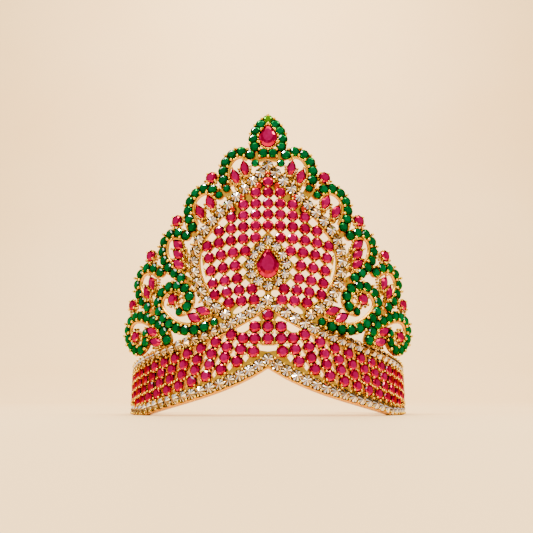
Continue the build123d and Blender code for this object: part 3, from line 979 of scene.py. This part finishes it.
def make_green_strings(materials):
    """The green stones of the finial, the arches and the scrolls; the finial's first is the lime one."""
    green = round_master("green_master", GREEN_WIDTH, GREEN_HEIGHT, sides=10)
    small = round_master("small_green_master", SMALL_GREEN_WIDTH, SMALL_GREEN_HEIGHT, sides=8)
    glass = materials["emerald"]
    tip, *arches = string_settings(FINIAL_STRING, green, small)
    for string in ARCH_STRINGS:
        arches += string_settings(string, green, small)
    arches += [(small, on_panel(*place)) for place in both_sides(SMALL_GREENS)]
    arches += [(green, on_panel(*place)) for place in both_sides(MIDDLE_GREENS)]
    piece = set_copies("arch_green_stones", arches, glass, sparkles=GREEN_SPARKLES)
    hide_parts("green_arch_stones")
    scrolls = []
    for string in SCROLL_STRINGS:
        scrolls += string_settings(string, green, small)
    piece = set_copies("scroll_green_stones", scrolls, glass, sparkles=GREEN_SPARKLES)
    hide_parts("green_scroll_stones")
    set_copies("finial_tip_stone", [tip], materials["lime"])
    drop_masters([green, small])


def make_clear_strings(materials):
    clear = clear_master("clear_master", CLEAR_WIDTH, CLEAR_HEIGHT)
    small = clear_master("ring_clear_master", RING_CLEAR_WIDTH, RING_CLEAR_HEIGHT)
    glass = materials["clear"]
    halo = string_settings(HALO_STRING, clear, clear)
    piece = set_copies("halo_clear_stones", halo, glass)
    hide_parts("heart_halo_stones")
    ring = string_settings(PEAR_RING_STRING, small, small)
    piece = set_copies("pear_ring_clear_stones", ring, glass)
    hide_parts("pear_ring_stones")
    for name, line, node in (
        ("upper_row_clear_stones", UPPER_LINE, "upper_chevron_stones"),
        ("lower_row_clear_stones", LOWER_LINE, "lower_chevron_stones"),
    ):
        row = [(clear, on_band(*place)) for place in both_sides(chevron_places(line))]
        piece = set_copies(name, row, glass)
        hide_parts(node)
    drop_masters([clear, small])


# Gold

def make_cups(materials):
    clear_cup = cup_master("clear_cup_master", CLEAR_WIDTH, height=0.85, sides=12)
    small_cup = cup_master("small_cup_master", RING_CLEAR_WIDTH, height=0.8, sides=12)
    green_cup = cup_master("green_cup_master", GREEN_WIDTH, height=0.75, sides=10)
    tiny_cup = cup_master("tiny_cup_master", SMALL_GREEN_WIDTH, height=0.6, sides=8)
    ruby_cup = cup_master("ruby_cup_master", RUBY_CUP_WIDTH, height=0.6, sides=10)
    accent_cup = cup_master("accent_cup_master", ACCENT_WIDTH, height=0.8, sides=10)
    panel = string_settings(HALO_STRING, clear_cup, clear_cup)
    panel += string_settings(PEAR_RING_STRING, small_cup, small_cup)
    for string in [FINIAL_STRING] + ARCH_STRINGS + SCROLL_STRINGS:
        panel += string_settings(string, green_cup, tiny_cup)
    for cup, places in (
        (tiny_cup, SMALL_GREENS + SMALL_REDS),
        (ruby_cup, heart_places()),
        (accent_cup, ACCENTS),
        (green_cup, MIDDLE_GREENS),
    ):
        panel += [(cup, on_panel(*place)) for place in both_sides(places)]
    set_copies("panel_cups", panel, materials["cup gold"])
    band = [(ruby_cup, on_band(*place)) for place in both_sides(band_places())]
    for line in (UPPER_LINE, LOWER_LINE):
        band += [(clear_cup, on_band(*place)) for place in both_sides(chevron_places(line))]
    set_copies("band_cups", band, materials["cup gold"])
    drop_masters([clear_cup, small_cup, green_cup, tiny_cup, ruby_cup, accent_cup])


def string_prongs(places, offset, place):
    """A pair of prongs across every gap of a string, on both halves."""
    prongs = []
    for along, height, slope in places:
        for across in (offset, -offset):
            x, y = moved(along, height, slope, 0, across)
            prongs += [place(x, y), place(-x, y)]
    return prongs


def pear_edge(middle, size):
    """Places of the beads that follow the outline of a pear stone."""
    across, length = size[0] / 2 + PEAR_BEAD_GAP, size[1] / 2 + PEAR_BEAD_GAP
    places = []
    for step in range(PEAR_BEAD_COUNT):
        angle = radians(90 + 360 * (step + 0.5) / PEAR_BEAD_COUNT)
        x, y = across * cos(angle), length * sin(angle)
        share = max(0, sin(angle))
        x *= 1 - PEAR_BEAD_TAPER * share
        y *= 1 + PEAR_BEAD_TIP * share ** POINT_POWER
        places.append((middle[0] + x, middle[1] + y))
    return places


def make_lattice_prongs(bead, gold):
    reach = RUBY_WIDTH / 2 + PRONG_REACH
    heart = prong_places(both_sides(heart_places()), reach, SQUARE)
    set_copies("heart_prongs", [(bead, on_panel(*p)) for p in heart], gold)
    band = prong_places(both_sides(band_places()), reach, DIAGONAL)
    set_copies("band_prongs", [(bead, on_band(*p)) for p in band], gold)


def make_string_prongs(bead, string_bead, gold):
    green = []
    for string in [FINIAL_STRING] + ARCH_STRINGS + SCROLL_STRINGS:
        places = string_places(string, between=True)
        green += string_prongs(places, GREEN_WIDTH * GREEN_PRONG_SHARE, on_panel)
    reach = GREEN_WIDTH * MIDDLE_GREEN_PRONG_SHARE
    green += [on_panel(*p) for p in prong_places(both_sides(MIDDLE_GREENS), reach, DIAGONAL)]
    green.append(on_panel(*TIP_PRONG))
    settings = [(string_bead, place) for place in green]
    accents = prong_places(both_sides(ACCENTS), ACCENT_WIDTH / 2, DIAGONAL)
    settings += [(bead, on_panel(*p)) for p in accents]
    set_copies("green_prongs", settings, gold)
    clear = []
    for string, width in ((HALO_STRING, CLEAR_WIDTH), (PEAR_RING_STRING, RING_CLEAR_WIDTH)):
        clear += string_prongs(string_places(string, between=True), width * CLEAR_PRONG_SHARE, on_panel)
    for line in (UPPER_LINE, LOWER_LINE):
        clear += string_prongs(chevron_places(line, between=True), CLEAR_WIDTH * CLEAR_PRONG_SHARE, on_band)
    set_copies("clear_prongs", [(bead, place) for place in clear], gold)


def make_petal_and_pear_prongs(bead, gold):
    small_bead = bead_master("small_bead_master", SMALL_BEAD_WIDTH, SMALL_BEAD_TOP)
    big_bead = bead_master("big_bead_master", BIG_BEAD_WIDTH, BIG_BEAD_TOP)
    beads, settings = [], []
    for middle, size in ((CENTRE_PEAR, CENTRE_PEAR_SIZE), (FINIAL_PEAR, FINIAL_PEAR_SIZE)):
        beads += [(small_bead, on_panel(*p)) for p in pear_edge(middle, size)]
        for x, y in PEAR_PRONGS:
            settings.append((big_bead, on_panel(middle[0] + x * size[0], middle[1] + y * size[1])))
    set_copies("pear_edge_beads", beads, gold)
    for along, height, slope in MARQUISES:
        for end in (PETAL_PRONG_SHARE, -PETAL_PRONG_SHARE):
            x, y = moved(along, height, slope, end * MARQUISE_SIZE[1], 0)
            settings += [(bead, on_panel(x, y)), (bead, on_panel(-x, y))]
    set_copies("petal_and_pear_prongs", settings, gold)
    drop_masters([small_bead, big_bead])


def make_prongs(materials):
    bead = bead_master("bead_master", BEAD_WIDTH, BEAD_TOP)
    string_bead = bead_master("string_bead_master", STRING_BEAD_WIDTH, STRING_BEAD_TOP)
    make_lattice_prongs(bead, materials["bead gold"])
    make_string_prongs(bead, string_bead, materials["bead gold"])
    make_petal_and_pear_prongs(bead, materials["bead gold"])
    drop_masters([bead, string_bead])


def make_leaves(materials):
    """A pair of leaves under each petal, and one in every gap along the outside of the halo."""
    leaf = leaf_master("leaf_master")
    settings = []
    for along, height, slope in MARQUISES:
        for side in (1, -1):
            x, y = moved(along, height, slope, -LEAF_DOWN, side * LEAF_ASIDE)
            turn = slope - 90 + side * LEAF_TURN
            settings += [(leaf, on_panel(x, y, turn)), (leaf, on_panel(-x, y, -turn))]
    for along, height, slope in string_places(HALO_STRING, between=True):
        x, y = moved(along, height, slope, 0, HALO_LEAF_OUT)
        settings += [(leaf, on_panel(x, y, slope)), (leaf, on_panel(-x, y, -slope))]
    set_copies("gold_leaves", settings, materials["cup gold"])
    drop_masters([leaf])


def make_grains(materials):
    """Fine gold grains beside the petals, round the accent stones and beside their stems."""
    places = []
    for along, height, slope in MARQUISES:
        for ahead, aside in PETAL_GRAINS:
            places += [moved(along, height, slope, ahead, side) for side in (aside, -aside)]
    for along, height, radius, first, last, count in GRAIN_ARCS:
        for direction in np.linspace(first, last, count):
            places.append(moved(along, height, direction, radius, 0))
    for row in GRAIN_ROWS:
        curve = smooth_curve(row)
        count = int(run_along(curve)[-1] / GRAIN_WIDTH) + 1
        places += [(x, y) for x, y, slope in spaced(curve, count)]
    grain = bead_master("grain_master", GRAIN_WIDTH, GRAIN_TOP)
    settings = []
    for x, y in places:
        settings += [(grain, on_panel(x, y)), (grain, on_panel(-x, y))]
    set_copies("gold_grains", settings, materials["cup gold"])
    drop_masters([grain])


def wire(path, width):
    """A round gold wire along points in metres."""
    clear_selection()
    line = bpy.data.curves.new("wire", "CURVE")
    line.dimensions = "3D"
    spline = line.splines.new("POLY")
    spline.points.add(len(path) - 1)
    for point, place in zip(spline.points, path):
        point.co = (*place, 1)
    line.bevel_depth = width / 2 * MM
    line.bevel_resolution = 2
    line.use_fill_caps = True
    piece = bpy.data.objects.new("wire", line)
    bpy.context.collection.objects.link(piece)
    piece.select_set(True)
    bpy.context.view_layer.objects.active = piece
    bpy.ops.object.convert(target="MESH")
    bpy.ops.object.shade_smooth()
    return bpy.context.active_object


def beside_string(string, start, side):
    """A path inside a string of stones, from a share of its length on, on one side of the crown."""
    path = []
    places = spaced(smooth_curve(string.route), RIM_POINTS)
    for x, y, slope in places[int(start * len(places)):]:
        x_in, y_in = moved(x, y, slope, 0, -RIM_INSET)
        path.append(on_panel(side * round_wall(string, x_in), y_in, lift=RIM_LIFT).translation)
    return path


def make_rims(materials):
    """The gold rims inside the strings of stones, and the rail of the band's foot."""
    gold = materials["rim gold"]
    rims = []
    for string in ARCH_STRINGS + SCROLL_STRINGS:
        rims += [wire(beside_string(string, 0, side), RIM_WIDTH) for side in (1, -1)]
    joined("arch_rims", rims, gold)
    rims = [wire(beside_string(HALO_STRING, HALO_RIM_START, side), HALO_RIM_WIDTH) for side in (1, -1)]
    path = []
    for along in np.linspace(-CHEVRON_RIM_REACH, CHEVRON_RIM_REACH, CHEVRON_RIM_POINTS):
        height = line_height(UPPER_LINE, along) - RIM_INSET
        path.append(on_band(along, height, lift=RIM_LIFT).translation)
    rims.append(wire(path, HALO_RIM_WIDTH))
    joined("halo_and_chevron_rims", rims, gold)
    reach = radians(FOOT_RAIL_END_ANGLE) * BAND_RADIUS
    path = []
    for along in np.linspace(-reach, reach, FOOT_RAIL_POINTS):
        height = max(line_height(FOOT_LINE, along), ground_height(along)) + FOOT_RAIL_WIDTH / 2
        path.append(on_band(along, height, lift=FOOT_RAIL_LIFT).translation)
    joined("foot_rail", [wire(path, FOOT_RAIL_WIDTH)], gold)


# Room, light and camera

def make_room():
    clear_selection()
    bpy.ops.mesh.primitive_plane_add(size=PAPER_SIZE, location=(0, 0, 0))
    floor = bpy.context.active_object
    bpy.ops.object.mode_set(mode="EDIT")
    bpy.ops.mesh.select_mode(type="EDGE")
    bpy.ops.mesh.select_all(action="DESELECT")
    bpy.ops.object.mode_set(mode="OBJECT")
    for vertex in floor.data.vertices:
        vertex.select = vertex.co.y > 0
    for edge in floor.data.edges:
        edge.select = all(floor.data.vertices[corner].select for corner in edge.vertices)
    bpy.ops.object.mode_set(mode="EDIT")
    bpy.ops.mesh.extrude_region_move(TRANSFORM_OT_translate={"value": (0, 0, PAPER_RISE)})
    bpy.ops.object.mode_set(mode="OBJECT")
    bevel = floor.modifiers.new("sweep", "BEVEL")
    bevel.width = SWEEP_RADIUS
    bevel.segments = SWEEP_SEGMENTS
    bpy.ops.object.modifier_apply(modifier="sweep")
    bpy.ops.object.shade_smooth()
    floor = finished("studio_floor")
    material, nodes, links, shader = new_material("studio_paper")
    cloud = object_noise(nodes, links, PAPER_SCALE)
    ramp = colour_ramp(nodes, PAPER_TINTS)
    links.new(cloud.outputs["Fac"], ramp.inputs["Fac"])
    links.new(ramp.outputs["Color"], shader.inputs["Base Color"])
    shader.inputs["Roughness"].default_value = PAPER_ROUGHNESS
    give_material(floor, material)


def make_lights():
    for name, place, target, side, power, colour in LIGHTS:
        light = bpy.data.lights.new(name, "AREA")
        light.size = side
        light.energy = power
        light.color = colour
        lamp = bpy.data.objects.new(name, light)
        lamp.location = place
        lamp.rotation_euler = (Vector(target) - Vector(place)).to_track_quat("-Z", "Y").to_euler()
        bpy.context.collection.objects.link(lamp)
    world = bpy.data.worlds.new("studio_air")
    world.use_nodes = True
    air = world.node_tree.nodes["Background"]
    air.inputs["Color"].default_value = (*AIR_COLOUR, 1)
    air.inputs["Strength"].default_value = AIR_STRENGTH
    bpy.context.scene.world = world


def make_camera():
    lens = bpy.data.cameras.new("photo_camera")
    lens.sensor_width = SENSOR_WIDTH
    lens.lens = FOCAL_PIXELS / PICTURE_SIDE * SENSOR_WIDTH
    lens.shift_x = (PICTURE_SIDE / 2 - PICTURE_MIDDLE_X) / PICTURE_SIDE
    lens.clip_start = 0.01
    lens.dof.use_dof = False
    camera = bpy.data.objects.new("photo_camera", lens)
    camera.location = CAMERA_PLACE
    camera.rotation_euler = (radians(90 + CAMERA_RISE), 0, 0)
    bpy.context.collection.objects.link(camera)
    bpy.context.scene.camera = camera


make_camera()
make_room()
make_lights()
materials = all_materials()
for node in ("band_frame", "panel_frame"):
    give_material(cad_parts[node], materials["frame gold"])
make_rubies(materials)
make_petals_and_pears(materials)
make_green_strings(materials)
make_clear_strings(materials)
make_cups(materials)
make_prongs(materials)
make_leaves(materials)
make_grains(materials)
make_rims(materials)
